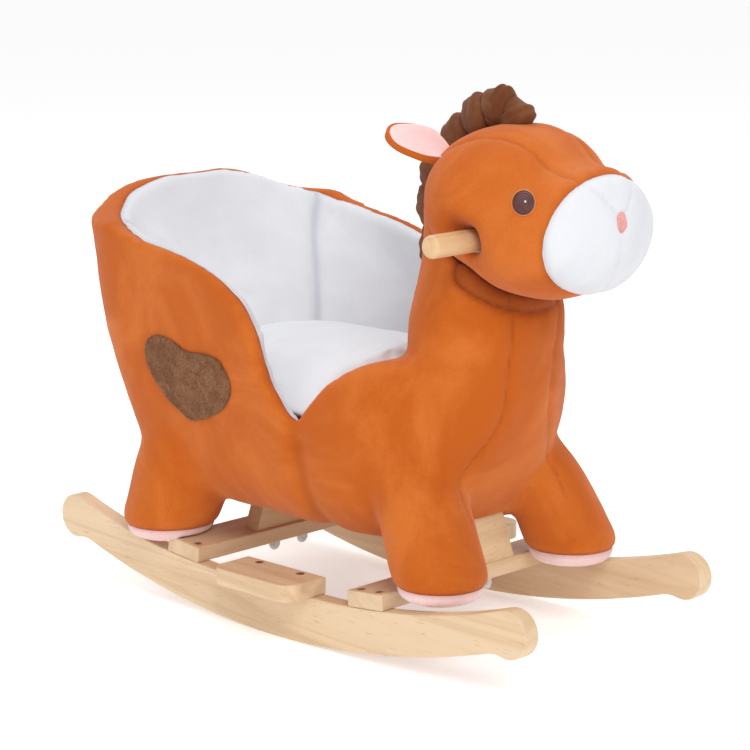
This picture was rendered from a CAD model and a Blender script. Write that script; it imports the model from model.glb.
# %% [markdown]
# # A plush rocking horse on a wooden base
#
# The real thing is two kinds of making in one: a screwed wooden base with flat boards and rounded edges, and
# a stuffed body sewn from short-pile velour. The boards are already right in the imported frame, so they only
# get a timber finish. The stuffed body is made again here, because cloth has no sharp corners: its covers are
# pulled round by the stuffing, pinched at the seams and brushed a little lighter and darker by hands.

from math import cos, pi, sin, sqrt

import bmesh
import bpy
import numpy as np
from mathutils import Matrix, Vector, noise
from mathutils.bvhtree import BVHTree


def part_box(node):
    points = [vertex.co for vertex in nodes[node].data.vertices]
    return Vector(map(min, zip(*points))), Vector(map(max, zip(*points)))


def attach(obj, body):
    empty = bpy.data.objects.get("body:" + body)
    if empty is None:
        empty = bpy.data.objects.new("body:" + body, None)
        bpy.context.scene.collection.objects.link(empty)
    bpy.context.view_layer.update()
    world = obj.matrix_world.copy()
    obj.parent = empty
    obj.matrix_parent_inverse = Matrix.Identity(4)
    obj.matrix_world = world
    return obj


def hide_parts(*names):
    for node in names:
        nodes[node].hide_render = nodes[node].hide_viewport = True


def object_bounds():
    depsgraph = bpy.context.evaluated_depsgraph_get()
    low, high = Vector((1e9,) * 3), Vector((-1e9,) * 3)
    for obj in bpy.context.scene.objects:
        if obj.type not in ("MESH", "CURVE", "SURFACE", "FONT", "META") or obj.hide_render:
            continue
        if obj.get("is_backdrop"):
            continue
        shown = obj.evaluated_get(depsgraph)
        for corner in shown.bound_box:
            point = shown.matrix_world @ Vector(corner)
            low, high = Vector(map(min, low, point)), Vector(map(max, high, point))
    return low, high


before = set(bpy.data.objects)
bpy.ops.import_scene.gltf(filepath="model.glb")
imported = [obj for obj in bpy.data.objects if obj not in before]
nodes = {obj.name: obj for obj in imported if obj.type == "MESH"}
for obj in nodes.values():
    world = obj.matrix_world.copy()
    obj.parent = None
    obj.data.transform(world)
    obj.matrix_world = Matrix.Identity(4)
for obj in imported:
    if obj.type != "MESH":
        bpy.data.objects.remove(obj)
cad_low, cad_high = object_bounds()
print("frame box, mm:", [round(1000 * v) for v in cad_low], [round(1000 * v) for v in cad_high])
print(len(nodes), "pieces in the frame")

# %% [markdown]
# ## Small helpers for meshes
#
# Most steps below take a mesh apart with numpy, move its points and put it back. That is quick even with a
# hundred thousand points, and it gives the same result on every run. Modifiers such as Remesh and Smooth do
# the heavy work, and are applied at once so that the next step sees plain points.

# %% Read and write points
def points_of(piece):
    """The piece's points as an array with one row each."""
    flat = np.zeros(len(piece.data.vertices) * 3)
    piece.data.vertices.foreach_get("co", flat)
    return flat.reshape(-1, 3)


def move_points(piece, places):
    """Put the piece's points at these places."""
    piece.data.vertices.foreach_set("co", np.asarray(places).ravel())
    piece.data.update()


def normals_of(piece):
    """The direction each point of the piece faces."""
    flat = np.zeros(len(piece.data.vertices) * 3)
    piece.data.vertices.foreach_get("normal", flat)
    return flat.reshape(-1, 3)


# %% Make and finish objects
def new_piece(name, mesh):
    """An object for a mesh, in the scene."""
    mesh.name = name
    piece = bpy.data.objects.new(name, mesh)
    bpy.context.scene.collection.objects.link(piece)
    return piece


def finished(name, skin):
    """An object made from a bmesh, which is freed."""
    mesh = bpy.data.meshes.new(name)
    skin.to_mesh(mesh)
    skin.free()
    return new_piece(name, mesh)


def bridge(mesh, rows, closed):
    """Faces between neighbouring rows of points, round and round if the rows are closed."""
    for low, high in zip(rows, rows[1:]):
        count = len(low)
        for start in range(count if closed else count - 1):
            after = (start + 1) % count
            mesh.faces.new((low[start], low[after], high[after], high[start]))


def apply_modifiers(piece):
    """Swap the piece's mesh for what its modifiers make of it."""
    bpy.context.view_layer.update()
    seen = piece.evaluated_get(bpy.context.evaluated_depsgraph_get())
    made = bpy.data.meshes.new_from_object(seen)
    made.name = piece.name
    piece.modifiers.clear()
    piece.data = made


def shade_smooth(piece):
    """Smooth shading over the whole piece."""
    piece.data.shade_smooth()


def keep_marks(piece, name, values):
    """Store one number for each point under a name that a material can read."""
    marks = piece.data.attributes.get(name)
    if marks is None:
        marks = piece.data.attributes.new(name, "FLOAT", "POINT")
    marks.data.foreach_set("value", np.asarray(values, dtype=np.float32))


def read_marks(piece, name):
    """The numbers stored under a name."""
    values = np.zeros(len(piece.data.vertices), dtype=np.float32)
    piece.data.attributes[name].data.foreach_get("value", values)
    return values


# %% [markdown]
# ## One stuffed form from several solids
#
# A stuffed toy's legs, belly and neck flow into each other. The Remesh modifier in voxel mode turns any
# pile of overlapping solids into a single skin, and a few rounds of the Smooth modifier relax that skin as
# stuffing does: sharp corners become round, and the creases where two forms meet become soft.

# %% Fuse solids into one skin
def gather(solids):
    """Copies of these solids of the frame in one bmesh."""
    gathered = bmesh.new()
    for solid in solids:
        gathered.from_mesh(nodes[solid].data)
    return gathered


def fused(name, solids, voxel):
    """One closed skin round copies of these solids of the frame."""
    piece = finished(name, gather(solids))
    remesh = piece.modifiers.new("one skin", "REMESH")
    remesh.mode = "VOXEL"
    remesh.voxel_size = voxel
    apply_modifiers(piece)
    keep_largest(piece)
    print(f"{name}: {len(piece.data.vertices)} points at {1000 * voxel:.1f} mm")
    return piece


def keep_largest(piece):
    """Drop the closed pockets inside a skin, and keep its largest connected part."""
    skin = bmesh.new()
    skin.from_mesh(piece.data)
    skin.verts.ensure_lookup_table()
    part_of = [-1] * len(skin.verts)
    sizes = []
    for start in skin.verts:
        if part_of[start.index] >= 0:
            continue
        stack, count = [start], 0
        part_of[start.index] = len(sizes)
        while stack:
            vert = stack.pop()
            count += 1
            for edge in vert.link_edges:
                other = edge.other_vert(vert)
                if part_of[other.index] < 0:
                    part_of[other.index] = len(sizes)
                    stack.append(other)
        sizes.append(count)
    largest = sizes.index(max(sizes))
    loose = [vert for vert in skin.verts if part_of[vert.index] != largest]
    bmesh.ops.delete(skin, geom=loose, context="VERTS")
    skin.to_mesh(piece.data)
    skin.free()


def relax(piece, rounds, strength=0.5, weights=None):
    """Even the skin out, as stuffing pushing from inside does. Weights keep it to one spot."""
    smooth = piece.modifiers.new("relax", "SMOOTH")
    smooth.factor = strength
    smooth.iterations = rounds
    if weights is not None:
        spot = piece.vertex_groups.new(name="spot")
        for index in np.nonzero(weights > 0.02)[0]:
            spot.add([int(index)], float(weights[index]), "REPLACE")
        smooth.vertex_group = "spot"
    apply_modifiers(piece)
    piece.vertex_groups.clear()


# %% [markdown]
# ## Where one cloth ends and the next begins
#
# Each colour of the body is its own panel of cloth. The frame's solids already say where the panels are, so a
# point's distance to a solid tells which panel it belongs to. That distance is a smooth number over the skin,
# and cutting the skin exactly where the number crosses zero gives a clean sewn edge instead of a stair of
# small squares.

# %% Distances to solids
def distance_to(piece, solids):
    """How far each point of the piece is from the nearest of these solids."""
    gathered = gather(solids)
    tree = BVHTree.FromBMesh(gathered)
    gathered.free()
    far = 0.05
    found = [tree.find_nearest(Vector(place), far) for place in points_of(piece)]
    return np.array([far if hit[3] is None else hit[3] for hit in found])


def mark_panel(piece, name, panel, others):
    """Store a number that is negative on the panel's cloth and zero along its seam."""
    keep_marks(piece, name, distance_to(piece, panel) - distance_to(piece, others))


# %% Even out stored numbers
def smooth_marks(piece, name, rounds=8):
    """Average a stored number with its neighbours, so that its zero line runs smoothly."""
    values = read_marks(piece, name).astype(float)
    ends = np.zeros(2 * len(piece.data.edges), dtype=np.int32)
    piece.data.edges.foreach_get("vertices", ends)
    first, second = ends[0::2], ends[1::2]
    count = np.bincount(ends, minlength=len(values))
    for _ in range(rounds):
        around = np.bincount(first, values[second], len(values))
        around = around + np.bincount(second, values[first], len(values))
        values = 0.5 * values + 0.5 * around / np.maximum(count, 1)
    keep_marks(piece, name, values)


# %% Cut a skin along a field
def cut_along(piece, marks_name):
    """Split every face that a stored number's zero line crosses."""
    skin = bmesh.new()
    skin.from_mesh(piece.data)
    layer = skin.verts.layers.float[marks_name]
    other_layers = [entry for entry in skin.verts.layers.float.values() if entry != layer]
    crossing = [
        edge for edge in skin.edges if edge.verts[0][layer] * edge.verts[1][layer] < 0
    ]
    on_line = set()
    for edge in crossing:
        first, second = edge.verts
        low, high = first[layer], second[layer]
        share = min(max(low / (low - high), 0.02), 0.98)
        values = [(entry, first[entry], second[entry]) for entry in other_layers]
        _, middle = bmesh.utils.edge_split(edge, first, share)
        middle[layer] = 0.0
        for entry, start, end in values:
            middle[entry] = start + (end - start) * share
        on_line.add(middle)
    for face in list(skin.faces):
        ends = [vert for vert in face.verts if vert in on_line]
        if len(ends) == 2 and skin.edges.get(ends) is None:
            bmesh.utils.face_split(face, ends[0], ends[1])
        elif len(ends) == 4:
            bmesh.utils.face_split(face, ends[0], ends[1])
    skin.to_mesh(piece.data)
    skin.free()
    return len(on_line)


def take_inside(piece, marks_name, name):
    """Move the faces where the stored number is negative to a new piece."""
    outside = bmesh.new()
    outside.from_mesh(piece.data)
    inside = outside.copy()
    for skin, wanted in ((outside, 1), (inside, -1)):
        layer = skin.verts.layers.float[marks_name]
        wrong = [
            face for face in skin.faces if wanted * sum(vert[layer] for vert in face.verts) < 0
        ]
        bmesh.ops.delete(skin, geom=wrong, context="FACES")
    outside.to_mesh(piece.data)
    outside.free()
    made = finished(name, inside)
    print(f"{name}: {len(made.data.polygons)} faces")
    return made


# %% [markdown]
# ## Seams
#
# A sewn seam pulls the cloth down into a narrow groove, and the cloth swells up again a few millimetres on
# either side. `seam_pull` makes that profile from the distance to the seam line. The same distance is also
# kept as marks, so the velour can be a little darker in the groove, where the pile stands on end.

# %% The profile of a seam
def seam_pull(distance, depth=0.0022, width=0.0030, swell=0.0006, reach=0.012):
    """How far the cloth moves outwards at this distance from a seam."""
    across = np.abs(distance)
    groove = -depth * np.exp(-((across / width) ** 2))
    shoulder = swell * np.exp(-(((across - reach) / reach) ** 2))
    return groove + shoulder


def seam_shade(distance, width=0.0022):
    """1 in the seam, 0 away from it."""
    return np.exp(-((distance / width) ** 2))


def step_up(values, low, high):
    """A smooth change from 0 to 1 between two values."""
    share = np.clip((values - low) / (high - low), 0.0, 1.0)
    return share * share * (3.0 - 2.0 * share)


# %% Soft unevenness of stuffing
def lumps(places, size, seed):
    """A smooth random number from about -1 to 1 for each place."""
    shift = Vector((seed * 3.1, seed * 7.7, seed * 1.3))
    return np.array([noise.noise(Vector(place) / size + shift) for place in places])


# %% [markdown]
# ## The body's skin
#
# The bucket seat, chest, neck, legs and soles are fused and relaxed together. The inner boards go into the
# pile as well, so that no empty pocket is left inside. The distances to the lining, the chin gusset and the
# soles are taken before the skin is relaxed, while it still lies exactly on the solids.

# %% Fuse the body
LEGS = [
    f"{end}_{kind}_{side}"
    for end in ("front", "rear")
    for kind in ("leg", "sole")
    for side in ("right", "left")
]
SOLES = [name for name in LEGS if "sole" in name]
HEARTS = ["heart_patch_right", "heart_patch_left"]
BODY = ["seat_shell", "seat_lining", "chest_cover", "neck_cover", "chin_gusset", *LEGS]
body_plush = fused("body_plush", [*BODY, "seat_board", "neck_post", "back_board"], 0.0038)

# %% Mark its panels, then relax it
for marks_name, panel in (("lining", ["seat_lining"]), ("gusset", ["chin_gusset"]), ("sole", SOLES)):
    others = [name for name in BODY if name not in panel]
    mark_panel(body_plush, marks_name, panel, others)
heart_edge = 0.0009
keep_marks(body_plush, "heart", distance_to(body_plush, HEARTS) - heart_edge)
keep_marks(body_plush, "sole", read_marks(body_plush, "sole") - 0.003)
keep_marks(body_plush, "gusset", read_marks(body_plush, "gusset") - 0.004)
for marks_name in ("lining", "gusset", "sole", "heart"):
    smooth_marks(body_plush, marks_name)
relax(body_plush, 14)
print("body relaxed:", [round(1000 * side) for side in np.ptp(points_of(body_plush), axis=0)], "mm")

# %% [markdown]
# ## Sew the body
#
# Two long seams run down the chest from the chin and spread towards the front legs. A soft crease crosses the
# side where the hip panel meets the chest panel, under the gap that the child's leg hangs through. The lining
# has a seam in each back corner, and its panels are plumper than the outside. Broad, shallow lumps keep the
# stuffed faces from looking turned on a lathe.

# %% Pull in the seams of the body
places, facing = points_of(body_plush), normals_of(body_plush)
x, y, z = places.T
lining_side = read_marks(body_plush, "lining")
on_lining = 1.0 - step_up(lining_side, -0.003, 0.0)

seam_gap = np.abs(x) - (0.030 + 0.034 * step_up(0.225 - z, 0.0, 0.085))
on_chest = (
    step_up(-facing[:, 1], 0.05, 0.4) * step_up(z, 0.115, 0.14) * step_up(0.335 - z, 0.0, 0.02)
) * step_up(-y, 0.09, 0.12)
corner_gap = np.abs(x) - (0.050 + 0.073 * (z - 0.232) / 0.126)
in_corner = on_lining * step_up(y, 0.09, 0.12)
hip_gap = y + 0.033
on_hip = (1.0 - on_lining) * step_up(0.212 - z, 0.0, 0.03) * step_up(np.abs(x), 0.05, 0.09)

moved = on_chest * seam_pull(seam_gap, depth=0.0015)
moved += in_corner * seam_pull(corner_gap, depth=0.004, width=0.006, swell=0.002, reach=0.022)
moved += on_hip * seam_pull(hip_gap, depth=0.0035, width=0.010, swell=0.0015, reach=0.026)
moved += seam_pull(lining_side, depth=0.0016, width=0.0035)
moved += seam_pull(read_marks(body_plush, "gusset"), depth=0.0014)
moved += seam_pull(read_marks(body_plush, "sole"), depth=0.0018)

# %% Add the lumps, and keep the seam marks
moved += 0.0013 * lumps(places, 0.055, 1) + 0.0005 * lumps(places, 0.016, 2)
moved += 0.0016 * on_lining * (0.6 + lumps(places, 0.035, 3))
sewn = np.maximum(0.6 * on_chest * seam_shade(seam_gap, 0.0015), in_corner * seam_shade(corner_gap, 0.003))
sewn = np.maximum(sewn, seam_shade(lining_side, 0.0025))
sewn = np.maximum(sewn, seam_shade(read_marks(body_plush, "gusset")))
sewn = np.maximum(sewn, seam_shade(read_marks(body_plush, "sole")))
sewn = np.maximum(sewn, 0.5 * on_hip * seam_shade(hip_gap, 0.005))
move_points(body_plush, places + facing * moved[:, None])
keep_marks(body_plush, "sewn", sewn)
print("seam depth, mm:", round(1000 * float(-moved.min()), 1))

# %% [markdown]
# ## Cut the body into its cloths
#
# The skin is cut along each stored number and the pieces become objects of their own, each with its own
# cloth: white lining, darker gusset under the chin, pale soles, and the brown hearts on the hips. A heart is
# sewn on top, so it gets a thickness and stands a little proud.

# %% Cut out the panels
panels = {}
for marks_name in ("lining", "gusset", "sole", "heart"):
    cut_along(body_plush, marks_name)
    panels[marks_name] = take_inside(body_plush, marks_name, f"{marks_name}_plush")

lining_plush = panels["lining"]
gusset_plush = panels["gusset"]
sole_pads = panels["sole"]
heart_patches = panels["heart"]


def thicken(piece, thickness, outwards=1.0):
    """Give an open panel a thickness."""
    solid = piece.modifiers.new("thickness", "SOLIDIFY")
    solid.thickness = thickness
    solid.offset = outwards
    apply_modifiers(piece)


thicken(heart_patches, 0.0034, 0.1)
for piece in (body_plush, lining_plush, gusset_plush, sole_pads, heart_patches):
    shade_smooth(piece)
    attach(piece, "root")

# %% Curly pile on the hearts
def ruffle(piece, height, size, seed):
    """Push the surface out and in by a small random amount."""
    places, facing = points_of(piece), normals_of(piece)
    curls = lumps(places, size, seed) + 0.5 * lumps(places, size / 2, seed + 1)
    move_points(piece, places + facing * (height * curls)[:, None])


ruffle(heart_patches, 0.0009, 0.0045, 4)

# %% [markdown]
# ## The head
#
# Head and muzzle are one stuffed ball in two cloths, so they are fused, relaxed and cut the same way. The
# handle comes out through a dimple on each side: the cloth is drawn in round the dowel where it is stitched.

# %% Fuse the head
muzzle_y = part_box("muzzle_cover")[1].y
head_plush = fused("head_plush", ["head_cover", "muzzle_cover"], 0.0034)
mark_panel(head_plush, "muzzle", ["muzzle_cover"], ["head_cover"])
keep_marks(head_plush, "nose", distance_to(head_plush, ["nose_patch"]) - heart_edge)
smooth_marks(head_plush, "muzzle")
relax(head_plush, 22)

# %% Draw the cloth in softly round the handle
grip_low, grip_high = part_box("handle_dowel")
grip_y, grip_z = (grip_low.y + grip_high.y) / 2, (grip_low.z + grip_high.z) / 2


def round_grip(piece, reach):
    """1 where the handle leaves the cloth, falling to 0 further out."""
    x, y, z = points_of(piece).T
    return step_up(np.abs(x), 0.035, 0.05) * np.exp(-((np.hypot(y - grip_y, z - grip_z) / reach) ** 2))


relax(head_plush, 40, 0.5, round_grip(head_plush, 0.038))
places, facing = points_of(head_plush), normals_of(head_plush)
x, y, z = places.T
muzzle_side = read_marks(head_plush, "muzzle")

# %% Seams of the head

brow_gap = np.abs(x) - (0.030 + 0.024 * step_up(y - muzzle_y, 0.0, 0.13))
on_brow = step_up(z, 0.405, 0.425) * step_up(muzzle_side, -0.001, 0.003)
muzzle_gap = np.where(z > 0.392, np.abs(x) - 0.030 * (z - 0.392) / 0.034, x)
on_muzzle = step_up(-muzzle_side, 0.0, 0.003)
moved = on_brow * seam_pull(brow_gap) + on_muzzle * seam_pull(muzzle_gap, depth=0.0010, width=0.0022)
moved += seam_pull(muzzle_side, depth=0.0022, width=0.0035, swell=0.0012, reach=0.014)
moved += 0.0010 * lumps(places, 0.05, 5) + 0.0004 * lumps(places, 0.015, 6)
sewn = 0.45 * on_brow * seam_shade(brow_gap, 0.0015)
sewn = np.maximum(sewn, 0.35 * on_muzzle * seam_shade(muzzle_gap, 0.0014))
sewn = np.maximum(sewn, 0.6 * seam_shade(muzzle_side))
move_points(head_plush, places + facing * moved[:, None])
keep_marks(head_plush, "sewn", sewn)

# %% Cut off the muzzle and the nose
cut_along(head_plush, "muzzle")
muzzle_plush = take_inside(head_plush, "muzzle", "muzzle_plush")
cut_along(muzzle_plush, "nose")
nose_stitches = take_inside(muzzle_plush, "nose", "nose_stitches")
thicken(nose_stitches, 0.0020, 0.2)
for piece in (head_plush, muzzle_plush, nose_stitches):
    shade_smooth(piece)
    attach(piece, "root")

# %% [markdown]
# ## Eyes
#
# Each eye is embroidered: thread laid in a spiral, with a white stitch as the glint and a thin lighter ring
# where the outline stitches draw the velour in. A round grid is laid on the head by dropping each of its
# points onto the skin, so the eye follows the curve of the cheek.

# %% A round patch laid on the head
head_tree_source = bmesh.new()
head_tree_source.from_mesh(head_plush.data)
head_tree = BVHTree.FromBMesh(head_tree_source)
head_tree_source.free()


def laid_disc(name, centre, facing, radius, inner, height, rings=14, spokes=48):
    """A domed disc, or a ring if inner is above 0, that follows the head."""
    side = facing.cross(Vector((0, 0, 1))).normalized()
    up = side.cross(facing).normalized()
    mesh, rows = bmesh.new(), []
    ring_marks, turn_marks = [], []
    for step in range(rings + 1):
        share = step / rings
        reach = inner + (radius - inner) * share
        swell = (1 - share**2) if inner == 0 else sin(pi * share)
        row = []
        for spoke in range(spokes):
            angle = 2 * pi * spoke / spokes
            start = centre + (side * cos(angle) + up * sin(angle)) * reach + facing * 0.03
            hit = head_tree.ray_cast(start, -facing, 0.08)[0]
            base = hit if hit is not None else start - facing * 0.03
            row.append(mesh.verts.new(base + facing * (0.0003 + height * max(swell, 0.0) ** 0.5)))
            ring_marks.append(share)
            turn_marks.append(spoke / spokes)
        rows.append(row)
    bridge(mesh, rows, closed=True)
    piece = finished(name, mesh)
    keep_marks(piece, "ring", ring_marks)
    keep_marks(piece, "turn", turn_marks)
    shade_smooth(piece)
    return piece


# %% Lay both eyes
eye_pieces = {}
for side in ("right", "left"):
    low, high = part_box(f"eye_{side}")
    middle = (low + high) / 2
    out = Vector((middle.x, middle.y + 0.19, 0.0)).normalized()
    eye_radius = (high.z - low.z) / 2
    ball = laid_disc(f"eye_thread_{side}", middle, out, eye_radius, 0.0, 0.0022)
    halo = laid_disc(f"eye_ring_{side}", middle, out, 1.12 * eye_radius, eye_radius, 0.0008, 4)
    along = out.cross(Vector((0, 0, 1))).normalized()
    spot = middle - along * 0.0017 + Vector((0, 0, 0.0012)) + out * 0.0020
    glint = laid_disc(f"eye_glint_{side}", spot, out, 0.0013, 0.0, 0.0030, 5, 20)
    eye_pieces[side] = (ball, halo, glint)
    for piece in eye_pieces[side]:
        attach(piece, "root")
    print(f"eye_{side}: radius {1000 * eye_radius:.1f} mm")

# %% [markdown]
# ## Ears
#
# An ear is a cupped leaf of velour with a pink lining, pointed at its tip and pinched where it is sewn to the
# head. Its direction is read from the frame's solid: the longest direction of its points runs from base to
# tip, and the shortest is the way that it faces.

# %% The directions of a solid
def main_directions(node):
    """The middle of a solid and its longest, middle and shortest directions."""
    places = np.array([list(vert.co) for vert in nodes[node].data.vertices])
    low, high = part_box(node)
    middle = (low + high) / 2
    _, _, directions = np.linalg.svd(places - places.mean(axis=0), full_matrices=False)
    return middle, [Vector(direction) for direction in directions]


# %% A leaf of cloth
def ear_leaf(name, middle, along, facing, half_length, half_width, cup, lift, thickness):
    """A cupped leaf from base to tip, its hollow side facing the given way."""
    across = along.cross(facing).normalized()
    steps, ribs = 26, 14
    mesh, rows = bmesh.new(), []
    for step in range(steps + 1):
        share = step / steps
        leaf = sqrt(max(1.0 - ((share - 0.5) / 0.505) ** 2, 0.0))
        pinch = 0.60 + 0.40 * min(share / 0.4, 1.0)
        width = half_width * leaf * pinch + 0.0006
        run = (2 * share - 1) * half_length
        row = []
        for rib in range(ribs + 1):
            out = 2 * rib / ribs - 1
            hollow = cup * (out * out - 0.45) * sin(pi * min(share + 0.15, 1.0))
            droop = -0.004 * share * share
            place = middle + along * run + across * (out * width) + facing * (hollow + lift + droop)
            row.append(mesh.verts.new(place))
        rows.append(row)
    bridge(mesh, rows, closed=False)
    bmesh.ops.recalc_face_normals(mesh, faces=mesh.faces)
    piece = finished(name, mesh)
    thicken(piece, thickness, 0.0)
    smooth = piece.modifiers.new("round edge", "SUBSURF")
    smooth.levels = smooth.render_levels = 1
    apply_modifiers(piece)
    shade_smooth(piece)
    return piece


# %% Sew both ears
ears = {}
for side, sign in (("right", -1), ("left", 1)):
    middle, (along, _, facing) = main_directions(f"ear_{side}")
    along = along * (1 if along.x * sign > 0 else -1)
    facing = facing * (1 if facing.y < 0 else -1)
    facing = (facing + Vector((0, 0, 0.80))).normalized()
    facing = (facing - along * facing.dot(along)).normalized()
    back = ear_leaf(f"ear_plush_{side}", middle, along, facing, 0.032, 0.0190, 0.012, 0.0, 0.0060)
    inset = middle + along * 0.0005
    pink = ear_leaf(f"ear_pink_{side}", inset, along, facing, 0.0290, 0.0165, 0.010, 0.0032, 0.0018)
    ears[side] = (back, pink)
    for piece in ears[side]:
        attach(piece, "root")
    print(f"ear_{side} points", [round(part, 2) for part in along])

# %% [markdown]
# ## The mane
#
# The mane is a long strip of brown plush, gathered on a thread like a hair scrunchie and sewn from between
# the ears down the back of the neck. A tube whose height falls to a tight crease at each place where it is
# caught down gives the fat lobes, and small pleats run into the creases near its root.

# %% The line that the mane is sewn along, as y and height
mane_line = [
    (-0.178, 0.461), (-0.167, 0.476), (-0.150, 0.479), (-0.126, 0.467), (-0.104, 0.449),
    (-0.087, 0.424), (-0.077, 0.395), (-0.076, 0.362), (-0.083, 0.334),
]


def along_line(line, share):
    """A place and a direction on a smooth curve through the points of a line."""
    count = len(line) - 1
    step = min(int(share * count), count - 1)
    local = share * count - step
    around = [Vector(line[min(max(step + shift, 0), count)]) for shift in (-1, 0, 1, 2)]
    before, start, end, after = around
    place = 0.5 * (
        2 * start
        + (end - before) * local
        + (2 * before - 5 * start + 4 * end - after) * local**2
        + (3 * start - before - 3 * end + after) * local**3
    )
    return place, (end - start).normalized()


# %% Gather the strip
def gathered_tube(name, line, height, width, lobes, rings=360, spokes=56):
    """A gathered strip along a line in the middle plane: fat lobes with tight creases between them."""
    mesh, rows = bmesh.new(), []
    for step in range(rings + 1):
        share = step / rings
        place, direction = along_line(line, share)
        out = Vector((0, direction[1], -direction[0]))
        taper = min(share * rings / 12, (1 - share) * rings / 12, 1.0)
        taper = sqrt(max(1 - (1 - taper) ** 2, 0.0)) + 0.02
        wander = 0.0032 * sin(2 * pi * share * 2.6)
        row = []
        for spoke in range(spokes):
            angle = 2 * pi * spoke / spokes
            upwards = 0.5 + 0.5 * sin(angle)
            slant = 0.10 * cos(angle) + 0.16 * noise.noise(Vector((share * 6, 0.8 * cos(angle), 3.0)))
            lobe = abs(sin(pi * (share * lobes + slant + 0.05))) ** 0.5
            pleat = 0.035 * sin(2 * pi * share * lobes * 3.0 + 2.0 * angle) * (1.0 - upwards)
            reach = taper * (0.50 + 0.50 * lobe + pleat)
            side = cos(angle) * width * reach * (0.62 + 0.38 * upwards)
            spot = Vector((wander + side, place[0], place[1]))
            row.append(mesh.verts.new(spot + out * (sin(angle) * height * reach)))
        rows.append(row)
    bridge(mesh, rows, closed=True)
    mesh.faces.new(rows[0][::-1])
    mesh.faces.new(rows[-1])
    bmesh.ops.recalc_face_normals(mesh, faces=mesh.faces)
    return finished(name, mesh)


mane_plush = gathered_tube("mane_plush", mane_line, 0.0185, 0.0150, 7.0)
ruffle(mane_plush, 0.0007, 0.014, 8)
shade_smooth(mane_plush)
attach(mane_plush, "root")
print("mane points:", len(mane_plush.data.vertices))

# %% [markdown]
# ## The seat cushion
#
# The cushion is a real pad, so it is blown up like one: its solid is remeshed, then the Cloth simulation with
# a little pressure inside pushes the cloth out until it is tight. The pad starts a little wide, because its
# corners are rounded off first, and no point may move further than a few millimetres, which keeps it inside
# the seat.

# %% Blow up the cushion
def blown_pad(name, solid, voxel, start_size, pressure, cap):
    """A pad made from a solid by cloth simulation with pressure inside."""
    pad = fused(name, [solid], voxel)
    relax(pad, 8)
    before = points_of(pad)
    middle = (before.max(axis=0) + before.min(axis=0)) / 2
    before = middle + (before - middle) * start_size
    move_points(pad, before)
    cloth = pad.modifiers.new("pad", "CLOTH")
    cloth.settings.use_pressure = True
    cloth.settings.uniform_pressure_force = pressure
    cloth.settings.effector_weights.gravity = 0.0
    cloth.point_cache.frame_start, cloth.point_cache.frame_end = 1, 20
    for step in range(1, 21):
        bpy.context.scene.frame_set(step)
    apply_modifiers(pad)
    change = points_of(pad) - before
    length = np.linalg.norm(change, axis=1)
    share = np.minimum(1.0, cap / np.maximum(length, 1e-9))
    move_points(pad, before + change * share[:, None])
    bpy.context.scene.frame_set(1)
    print(f"{name}: swelled by up to {1000 * length.max():.1f} mm, kept to {1000 * cap:.0f} mm")
    return pad


seat_pad = blown_pad("seat_pad", "seat_cushion", 0.0048, 1.02, 4.0, 0.007)
smooth = seat_pad.modifiers.new("smooth", "SUBSURF")
smooth.levels = smooth.render_levels = 1
apply_modifiers(seat_pad)
ruffle(seat_pad, 0.0012, 0.045, 9)
shade_smooth(seat_pad)
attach(seat_pad, "root")
print("seat pad height, mm:", round(1000 * points_of(seat_pad)[:, 2].max()))

# %% [markdown]
# ## Brushed velour
#
# Short-pile velour looks different wherever a hand has brushed it: lying one way the pile shines, lying the
# other way it looks deep. Close up it is a field of fine fibres. Both are patterns that every cloth on this
# horse shares, so they are one node group, and each cloth gives it its own colours and sizes. The soft glow
# at the edges of the form is the Principled shader's sheen, which stays in each material.

# %% A small helper for node trees
def add_node(tree, kind, **values):
    """A node with some of its inputs and settings filled in."""
    node = tree.nodes.new(kind)
    for name, value in values.items():
        if name.startswith("in_"):
            node.inputs[name[3:].replace("_", " ")].default_value = value
        else:
            setattr(node, name, value)
    return node


def new_group(name, inputs, outputs):
    """An empty node group with named sockets, and its input and output nodes."""
    group = bpy.data.node_groups.new(name, "ShaderNodeTree")
    for socket, kind, value in inputs:
        made = group.interface.new_socket(socket, in_out="INPUT", socket_type=kind)
        made.default_value = value
    for socket, kind in outputs:
        group.interface.new_socket(socket, in_out="OUTPUT", socket_type=kind)
    return group, group.nodes.new("NodeGroupInput"), group.nodes.new("NodeGroupOutput")


def mixed(tree, share, first, second, blend="MIX"):
    """A colour mix, and its result socket."""
    mix = tree.nodes.new("ShaderNodeMix")
    mix.data_type = "RGBA"
    mix.blend_type = blend
    for socket, value in ((0, share), (6, first), (7, second)):
        if isinstance(value, bpy.types.NodeSocket):
            tree.links.new(value, mix.inputs[socket])
        else:
            mix.inputs[socket].default_value = value
    return mix.outputs[2]


def ranged(tree, value, low, high, to_low=0.0, to_high=1.0):
    """A value stretched from one range to another."""
    node = add_node(tree, "ShaderNodeMapRange", interpolation_type="SMOOTHSTEP")
    tree.links.new(value, node.inputs["Value"])
    for name, number in (("From Min", low), ("From Max", high), ("To Min", to_low), ("To Max", to_high)):
        node.inputs[name].default_value = number
    return node.outputs["Result"]


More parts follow.
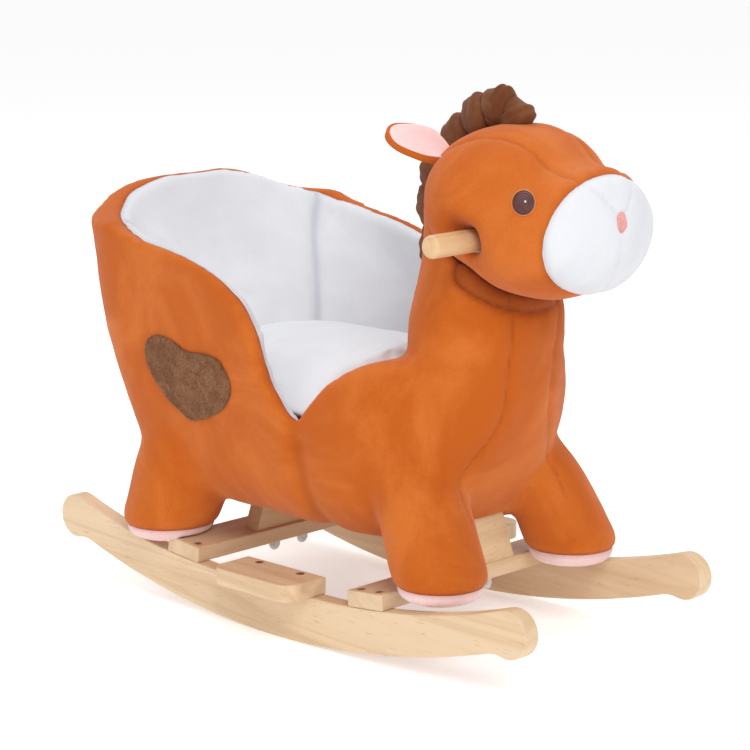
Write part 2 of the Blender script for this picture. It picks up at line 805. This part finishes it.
# %% The brushed pile group
COLOUR, NUMBER = "NodeSocketColor", "NodeSocketFloat"
pile, pile_in, pile_out = new_group(
    "brushed pile",
    [
        ("Cloth", COLOUR, (0.5, 0.5, 0.5, 1)),
        ("Brushed", COLOUR, (0.6, 0.6, 0.6, 1)),
        ("Deep", COLOUR, (0.2, 0.2, 0.2, 1)),
        ("Patch Density", NUMBER, 14.0),
        ("Patch Strength", NUMBER, 0.6),
        ("Fibre Density", NUMBER, 1400.0),
        ("Fibre Contrast", NUMBER, 0.3),
        ("Sewn", NUMBER, 0.0),
    ],
    [("Colour", COLOUR), ("Height", NUMBER), ("Roughness", NUMBER)],
)
spot = pile.nodes.new("ShaderNodeTexCoord")
patches = add_node(pile, "ShaderNodeTexNoise", in_Detail=4.0, in_Roughness=0.6, in_Distortion=0.7)
pile.links.new(spot.outputs["Object"], patches.inputs["Vector"])
pile.links.new(pile_in.outputs["Patch Density"], patches.inputs["Scale"])
fibres = add_node(pile, "ShaderNodeTexNoise", in_Detail=3.0, in_Roughness=0.7)
pile.links.new(spot.outputs["Object"], fibres.inputs["Vector"])
pile.links.new(pile_in.outputs["Fibre Density"], fibres.inputs["Scale"])

patch_share = add_node(pile, "ShaderNodeMath", operation="MULTIPLY")
pile.links.new(ranged(pile, patches.outputs["Fac"], 0.38, 0.66), patch_share.inputs[0])
pile.links.new(pile_in.outputs["Patch Strength"], patch_share.inputs[1])
brushed = mixed(pile, patch_share.outputs[0], pile_in.outputs["Cloth"], pile_in.outputs["Brushed"])
fibre_share = add_node(pile, "ShaderNodeMath", operation="MULTIPLY")
pile.links.new(ranged(pile, fibres.outputs["Fac"], 0.62, 0.36), fibre_share.inputs[0])
pile.links.new(pile_in.outputs["Fibre Contrast"], fibre_share.inputs[1])
flecked = mixed(pile, fibre_share.outputs[0], brushed, pile_in.outputs["Deep"])
sewn_share = add_node(pile, "ShaderNodeMath", operation="MULTIPLY")
pile.links.new(pile_in.outputs["Sewn"], sewn_share.inputs[0])
sewn_share.inputs[1].default_value = 0.7
shaded = mixed(pile, sewn_share.outputs[0], flecked, pile_in.outputs["Deep"])
pile.links.new(shaded, pile_out.inputs["Colour"])
pile.links.new(fibres.outputs["Fac"], pile_out.inputs["Height"])
pile.links.new(ranged(pile, patches.outputs["Fac"], 0.3, 0.7, 0.92, 0.74), pile_out.inputs["Roughness"])
print("brushed pile group:", len(pile.nodes), "nodes")


# %% Cloths made with the group
def velour(
    name, cloth, brushed, deep, patch=14.0, strength=0.6, fibre=1400.0, contrast=0.3, bump=0.5, sheen=0.6
):
    """A short-pile cloth in the given colours."""
    material = bpy.data.materials.new(name)
    material.use_nodes = True
    tree = material.node_tree
    shader = tree.nodes["Principled BSDF"]
    group = add_node(tree, "ShaderNodeGroup", node_tree=pile)
    for socket, value in (
        ("Cloth", (*cloth, 1)),
        ("Brushed", (*brushed, 1)),
        ("Deep", (*deep, 1)),
        ("Patch Density", patch),
        ("Patch Strength", strength),
        ("Fibre Density", fibre),
        ("Fibre Contrast", contrast),
    ):
        group.inputs[socket].default_value = value
    seam_marks = add_node(tree, "ShaderNodeAttribute", attribute_name="sewn")
    tree.links.new(seam_marks.outputs["Fac"], group.inputs["Sewn"])
    tree.links.new(group.outputs["Colour"], shader.inputs["Base Color"])
    tree.links.new(group.outputs["Roughness"], shader.inputs["Roughness"])
    fuzz = add_node(tree, "ShaderNodeBump", in_Strength=bump, in_Distance=0.0008)
    tree.links.new(group.outputs["Height"], fuzz.inputs["Height"])
    tree.links.new(fuzz.outputs["Normal"], shader.inputs["Normal"])
    shader.inputs["Specular IOR Level"].default_value = 0.15
    shader.inputs["Sheen Weight"].default_value = sheen
    shader.inputs["Sheen Roughness"].default_value = 0.45
    shader.inputs["Sheen Tint"].default_value = (*[min(1.0, 0.35 + part) for part in brushed], 1)
    return material


orange_velour = velour(
    "orange_velour",
    cloth=(0.50, 0.105, 0.008),
    brushed=(0.66, 0.180, 0.028),
    deep=(0.26, 0.038, 0.003),
    patch=10.0,
    strength=0.65,
    sheen=0.35,
)
dark_velour = velour(
    "dark_velour",
    cloth=(0.36, 0.075, 0.010),
    brushed=(0.43, 0.10, 0.015),
    deep=(0.16, 0.025, 0.004),
    sheen=0.35,
)
white_velour = velour(
    "white_velour",
    cloth=(0.64, 0.65, 0.68),
    brushed=(0.72, 0.73, 0.76),
    deep=(0.40, 0.42, 0.47),
    patch=10.0,
    fibre=1500.0,
    contrast=0.14,
    bump=0.35,
    sheen=0.15,
)
pink_velour = velour(
    "pink_velour",
    cloth=(0.80, 0.55, 0.54),
    brushed=(0.86, 0.66, 0.64),
    deep=(0.50, 0.28, 0.27),
    patch=30.0,
    strength=0.5,
    fibre=1500.0,
    contrast=0.15,
    bump=0.3,
    sheen=0.4,
)
curly_brown = velour(
    "curly_brown",
    cloth=(0.175, 0.070, 0.028),
    brushed=(0.27, 0.12, 0.052),
    deep=(0.045, 0.015, 0.006),
    patch=60.0,
    strength=0.8,
    fibre=620.0,
    contrast=0.6,
    bump=0.8,
    sheen=0.3,
)
mane_brown = velour(
    "mane_brown",
    cloth=(0.145, 0.046, 0.016),
    brushed=(0.22, 0.080, 0.032),
    deep=(0.04, 0.011, 0.004),
    patch=40.0,
    fibre=1300.0,
    bump=0.5,
    sheen=0.3,
)
print("cloths made")

# %% [markdown]
# ## Embroidery thread
#
# The eyes and the nose are satin thread, laid side by side. In the eye the thread runs round and round from
# the middle, which the stored ring and turn numbers give: adding them makes a spiral. Thread shines more than
# velour, so its roughness is lower.

# %% The laid thread group
laid, laid_in, laid_out = new_group(
    "laid thread",
    [
        ("Dark", COLOUR, (0.1, 0.1, 0.1, 1)),
        ("Light", COLOUR, (0.3, 0.3, 0.3, 1)),
        ("Ring", NUMBER, 0.0),
        ("Turn", NUMBER, 0.0),
        ("Turns", NUMBER, 5.0),
    ],
    [("Colour", COLOUR), ("Height", NUMBER)],
)
wound = add_node(laid, "ShaderNodeMath", operation="MULTIPLY_ADD")
laid.links.new(laid_in.outputs["Ring"], wound.inputs[0])
laid.links.new(laid_in.outputs["Turns"], wound.inputs[1])
laid.links.new(laid_in.outputs["Turn"], wound.inputs[2])
lane = add_node(laid, "ShaderNodeMath", operation="PINGPONG")
laid.links.new(wound.outputs[0], lane.inputs[0])
lane.inputs[1].default_value = 0.5
raised = ranged(laid, lane.outputs[0], 0.05, 0.45)
thread_colour = mixed(laid, raised, laid_in.outputs["Dark"], laid_in.outputs["Light"])
laid.links.new(thread_colour, laid_out.inputs["Colour"])
laid.links.new(raised, laid_out.inputs["Height"])
print("laid thread group:", len(laid.nodes), "nodes")


# %% Threads made with the group
def thread(name, dark, light, turns):
    """Thread wound in a spiral, by the ring and turn marks of its piece."""
    material = bpy.data.materials.new(name)
    material.use_nodes = True
    tree = material.node_tree
    shader = tree.nodes["Principled BSDF"]
    group = add_node(tree, "ShaderNodeGroup", node_tree=laid)
    for socket, value in (("Dark", (*dark, 1)), ("Light", (*light, 1)), ("Turns", turns)):
        group.inputs[socket].default_value = value
    for socket, marks_name in (("Ring", "ring"), ("Turn", "turn")):
        marks = add_node(tree, "ShaderNodeAttribute", attribute_name=marks_name)
        tree.links.new(marks.outputs["Fac"], group.inputs[socket])
    tree.links.new(group.outputs["Colour"], shader.inputs["Base Color"])
    bump = add_node(tree, "ShaderNodeBump", in_Strength=0.6, in_Distance=0.0005)
    tree.links.new(group.outputs["Height"], bump.inputs["Height"])
    tree.links.new(bump.outputs["Normal"], shader.inputs["Normal"])
    shader.inputs["Roughness"].default_value = 0.45
    return material


eye_thread = thread("eye_thread", (0.030, 0.006, 0.006), (0.120, 0.022, 0.020), 5.0)
ring_thread = thread("ring_thread", (0.45, 0.13, 0.035), (0.72, 0.28, 0.10), 2.0)
glint_thread = thread("glint_thread", (0.75, 0.75, 0.75), (0.9, 0.9, 0.9), 2.0)
nose_thread = velour(
    "nose_thread",
    cloth=(0.76, 0.36, 0.34),
    brushed=(0.82, 0.47, 0.44),
    deep=(0.48, 0.12, 0.12),
    patch=140.0,
    fibre=900.0,
    contrast=0.45,
    bump=0.6,
    sheen=0.2,
)

# %% [markdown]
# ## Pale timber
#
# The base is a pale, close-grained softwood under a clear satin lacquer. Boards are cut along the grain, so
# the pattern is stretched along each board's length: first broad growth bands, then fine dark pores. The
# group takes the stretch as an input, so that rockers, slats, risers and the handle each get their own run.

# %% The timber group
VECTOR = "NodeSocketVector"
timber, timber_in, timber_out = new_group(
    "timber grain",
    [
        ("Pale", COLOUR, (0.8, 0.6, 0.4, 1)),
        ("Band", COLOUR, (0.6, 0.4, 0.2, 1)),
        ("Pore", COLOUR, (0.3, 0.2, 0.1, 1)),
        ("Run", VECTOR, (1.0, 0.08, 1.0)),
        ("Band Density", NUMBER, 30.0),
        ("Band Strength", NUMBER, 0.5),
        ("Pore Density", NUMBER, 900.0),
    ],
    [("Colour", COLOUR), ("Height", NUMBER), ("Roughness", NUMBER)],
)
spot = timber.nodes.new("ShaderNodeTexCoord")
stretch = add_node(timber, "ShaderNodeVectorMath", operation="MULTIPLY")
timber.links.new(spot.outputs["Object"], stretch.inputs[0])
timber.links.new(timber_in.outputs["Run"], stretch.inputs[1])
warp = add_node(timber, "ShaderNodeTexNoise", in_Scale=9.0, in_Detail=3.0, in_Roughness=0.5)
timber.links.new(stretch.outputs["Vector"], warp.inputs["Vector"])
bands = add_node(timber, "ShaderNodeTexNoise", in_Detail=5.0, in_Roughness=0.65, in_Distortion=1.1)
timber.links.new(stretch.outputs["Vector"], bands.inputs["Vector"])
timber.links.new(timber_in.outputs["Band Density"], bands.inputs["Scale"])
rings_of = add_node(timber, "ShaderNodeMath", operation="MULTIPLY")
timber.links.new(warp.outputs["Fac"], rings_of.inputs[0])
rings_of.inputs[1].default_value = 14.0
saw = add_node(timber, "ShaderNodeMath", operation="PINGPONG")
timber.links.new(rings_of.outputs[0], saw.inputs[0])
saw.inputs[1].default_value = 0.5
growth = ranged(timber, saw.outputs[0], 0.30, 0.5)
blend = add_node(timber, "ShaderNodeMath", operation="MULTIPLY")
timber.links.new(ranged(timber, bands.outputs["Fac"], 0.40, 0.68), blend.inputs[0])
timber.links.new(timber_in.outputs["Band Strength"], blend.inputs[1])
line = add_node(timber, "ShaderNodeMath", operation="MULTIPLY")
timber.links.new(growth, line.inputs[0])
line.inputs[1].default_value = 0.32
first_coat = mixed(timber, blend.outputs[0], timber_in.outputs["Pale"], timber_in.outputs["Band"])
second_coat = mixed(timber, line.outputs[0], first_coat, timber_in.outputs["Band"])
pores = add_node(timber, "ShaderNodeTexNoise", in_Detail=2.0, in_Roughness=0.6)
timber.links.new(stretch.outputs["Vector"], pores.inputs["Vector"])
timber.links.new(timber_in.outputs["Pore Density"], pores.inputs["Scale"])
pore_share = ranged(timber, pores.outputs["Fac"], 0.62, 0.74, 0.0, 0.45)
last_coat = mixed(timber, pore_share, second_coat, timber_in.outputs["Pore"])
timber.links.new(last_coat, timber_out.inputs["Colour"])
timber.links.new(ranged(timber, pores.outputs["Fac"], 0.7, 0.5), timber_out.inputs["Height"])
timber.links.new(ranged(timber, bands.outputs["Fac"], 0.3, 0.7, 0.42, 0.54), timber_out.inputs["Roughness"])
print("timber group:", len(timber.nodes), "nodes")


# %% Timbers made with the group
def board(name, run, pale, band, strength=0.5):
    """A lacquered board with its grain along the shortest number of its run."""
    material = bpy.data.materials.new(name)
    material.use_nodes = True
    tree = material.node_tree
    shader = tree.nodes["Principled BSDF"]
    group = add_node(tree, "ShaderNodeGroup", node_tree=timber)
    for socket, value in (
        ("Pale", (*pale, 1)),
        ("Band", (*band, 1)),
        ("Pore", (band[0] * 0.55, band[1] * 0.45, band[2] * 0.35, 1)),
        ("Run", run),
        ("Band Strength", strength),
    ):
        group.inputs[socket].default_value = value
    tree.links.new(group.outputs["Colour"], shader.inputs["Base Color"])
    tree.links.new(group.outputs["Roughness"], shader.inputs["Roughness"])
    bump = add_node(tree, "ShaderNodeBump", in_Strength=0.15, in_Distance=0.0003)
    tree.links.new(group.outputs["Height"], bump.inputs["Height"])
    tree.links.new(bump.outputs["Normal"], shader.inputs["Normal"])
    shader.inputs["Coat Weight"].default_value = 0.12
    shader.inputs["Coat Roughness"].default_value = 0.35
    return material


PALE, HONEY = (0.70, 0.52, 0.33), (0.52, 0.33, 0.17)
timbers = {
    "rocker_wood": board("rocker_wood", (1.0, 0.07, 1.0), PALE, HONEY),
    "slat_wood": board("slat_wood", (0.07, 1.0, 1.0), (0.66, 0.48, 0.30), HONEY),
    "riser_wood": board("riser_wood", (0.09, 1.0, 1.0), (0.68, 0.49, 0.29), (0.52, 0.32, 0.16)),
    "handle_wood": board("handle_wood", (0.07, 1.0, 1.0), (0.66, 0.43, 0.23), (0.46, 0.26, 0.12)),
}

# %% [markdown]
# ## Plated steel
#
# The screws, washers and cap nuts are zinc plated, a grey metal with a slight cloudiness.

# %% Zinc
zinc = bpy.data.materials.new("zinc_plate")
zinc.use_nodes = True
tree = zinc.node_tree
cloud = add_node(tree, "ShaderNodeTexNoise", in_Scale=260.0, in_Detail=3.0)
spot = tree.nodes.new("ShaderNodeTexCoord")
tree.links.new(spot.outputs["Object"], cloud.inputs["Vector"])
shader = tree.nodes["Principled BSDF"]
shader.inputs["Metallic"].default_value = 1.0
tint = mixed(tree, cloud.outputs["Fac"], (0.42, 0.41, 0.39, 1), (0.66, 0.65, 0.62, 1))
tree.links.new(tint, shader.inputs["Base Color"])
tree.links.new(ranged(tree, cloud.outputs["Fac"], 0.3, 0.7, 0.28, 0.46), shader.inputs["Roughness"])

# %% [markdown]
# ## Dress every piece
#
# Each new piece says which solids of the frame it stands for, which finish in the record it takes, and which
# material it wears. The solids that stay visible just get a better material in their slots.

# %% Dress the stuffed pieces
SEWN_PIECES = {
    body_plush: (
        ["seat_shell", "chest_cover", "neck_cover", *[name for name in LEGS if "leg" in name]],
        "orange_velour",
        orange_velour,
    ),
    lining_plush: (["seat_lining"], "white_velour", white_velour),
    gusset_plush: (["chin_gusset"], "dark_velour", dark_velour),
    sole_pads: (SOLES, "pale_pink_velour", pink_velour),
    heart_patches: (HEARTS, "brown_plush", curly_brown),
    head_plush: (["head_cover"], "orange_velour", orange_velour),
    muzzle_plush: (["muzzle_cover"], "white_velour", white_velour),
    nose_stitches: (["nose_patch"], "nose_thread", nose_thread),
    mane_plush: (["mane"], "brown_plush", mane_brown),
    seat_pad: (["seat_cushion"], "white_velour", white_velour),
}
for side in ("right", "left"):
    ball, halo, glint = eye_pieces[side]
    SEWN_PIECES[ball] = ([f"eye_{side}"], "eye_thread", eye_thread)
    SEWN_PIECES[halo] = ([], "eye_thread", ring_thread)
    SEWN_PIECES[glint] = ([], "eye_thread", glint_thread)
    back, pink = ears[side]
    SEWN_PIECES[back] = ([f"ear_{side}"], "orange_velour", orange_velour)
    SEWN_PIECES[pink] = ([f"ear_lining_{side}"], "pale_pink_velour", pink_velour)


def wear(piece, material):
    """The piece's only material."""
    piece.data.materials.clear()
    piece.data.materials.append(material)


for piece, (solids, finish, material) in SEWN_PIECES.items():
    if solids:
        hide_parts(*solids)
    wear(piece, material)
print(len(SEWN_PIECES), "sewn pieces dressed")

# %% Dress the base and the boards inside
GRAIN = {
    "rocker_right": "rocker_wood",
    "rocker_left": "rocker_wood",
    "footrest_right": "rocker_wood",
    "footrest_left": "rocker_wood",
    "front_cross_slat": "slat_wood",
    "rear_cross_slat": "slat_wood",
    "front_riser": "riser_wood",
    "rear_riser": "riser_wood",
    "seat_board": "rocker_wood",
    "back_board": "riser_wood",
    "neck_post": "riser_wood",
    "handle_dowel": "handle_wood",
}
for node, grain in GRAIN.items():
    for place in nodes[node].material_slots:
        place.material = timbers[grain]
for node in ("slat_screws", "footrest_screws", "riser_studs", "washers", "cap_nuts"):
    for place in nodes[node].material_slots:
        place.material = zinc
print(len(GRAIN), "boards and their fixings dressed")

# %% [markdown]
# ## Floor, light and camera
#
# A plain pale floor runs up behind into the bright background. One large soft light above and to the front
# gives the gentle modelling that velour needs, a weaker one fills the shaded side, and the world is nearly
# white, so that no shadow is hard. The floor glows a little, which keeps it evenly pale as far as it is seen.

# %% Floor
floor_mesh = bpy.data.meshes.new("floor")
reach = 30.0
floor_mesh.from_pydata(
    [(-reach, -reach, 0), (reach, -reach, 0), (reach, reach, 0), (-reach, reach, 0)], [], [(0, 1, 2, 3)]
)
floor = new_piece("floor", floor_mesh)
pale_floor = bpy.data.materials.new("pale_floor")
pale_floor.use_nodes = True
floor_shader = pale_floor.node_tree.nodes["Principled BSDF"]
floor_shader.inputs["Base Color"].default_value = (0.80, 0.80, 0.80, 1)
floor_shader.inputs["Roughness"].default_value = 0.9
floor_shader.inputs["Emission Color"].default_value = (1.0, 1.0, 1.0, 1)
floor_shader.inputs["Emission Strength"].default_value = 0.42
wear(floor, pale_floor)
floor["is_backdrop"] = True


# %% Lights
def soft_light(name, place, target, size, power):
    """A square area light that looks at a point."""
    data = bpy.data.lights.new(name, "AREA")
    data.size = size
    data.energy = power
    lamp = bpy.data.objects.new(name, data)
    lamp.location = place
    lamp.rotation_euler = (Vector(target) - Vector(place)).to_track_quat("-Z", "Y").to_euler()
    bpy.context.scene.collection.objects.link(lamp)
    return lamp


middle = (cad_low + cad_high) / 2
soft_light("key", (-1.3, -2.0, 2.3), middle, 1.4, 44)
soft_light("fill", (-2.4, 0.9, 1.2), middle, 1.8, 7)
soft_light("top", (0.5, 0.6, 2.6), middle, 2.4, 30)

world = bpy.data.worlds.new("soft room")
world.use_nodes = True
world.node_tree.nodes["Background"].inputs["Color"].default_value = (1.0, 1.0, 1.0, 1)
rays = world.node_tree.nodes.new("ShaderNodeLightPath")
glow = add_node(world.node_tree, "ShaderNodeMath", operation="MULTIPLY_ADD")
world.node_tree.links.new(rays.outputs["Is Camera Ray"], glow.inputs[0])
glow.inputs[1].default_value, glow.inputs[2].default_value = 0.34, 0.66
world.node_tree.links.new(glow.outputs[0], world.node_tree.nodes["Background"].inputs["Strength"])
bpy.context.scene.world = world
bpy.context.scene.view_settings.view_transform = "Standard"

# %% Camera
camera_data = bpy.data.cameras.new("camera")
camera_data.sensor_width = 36.0
camera_data.lens = 121.5
camera_data.clip_end = 100.0
camera = bpy.data.objects.new("camera", camera_data)
camera.location = (-1.6424, -1.5868, 0.6938)
looking = Vector((0.70522, 0.67941, -0.20265))
camera.rotation_euler = looking.to_track_quat("-Z", "Y").to_euler()
bpy.context.scene.collection.objects.link(camera)
bpy.context.scene.camera = camera
print("camera distance, m:", round((camera.location - middle).length, 2))

# %% Write the sizes and finish
low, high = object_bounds()
print("visual box, mm:", [round(1000 * v) for v in low], [round(1000 * v) for v in high])
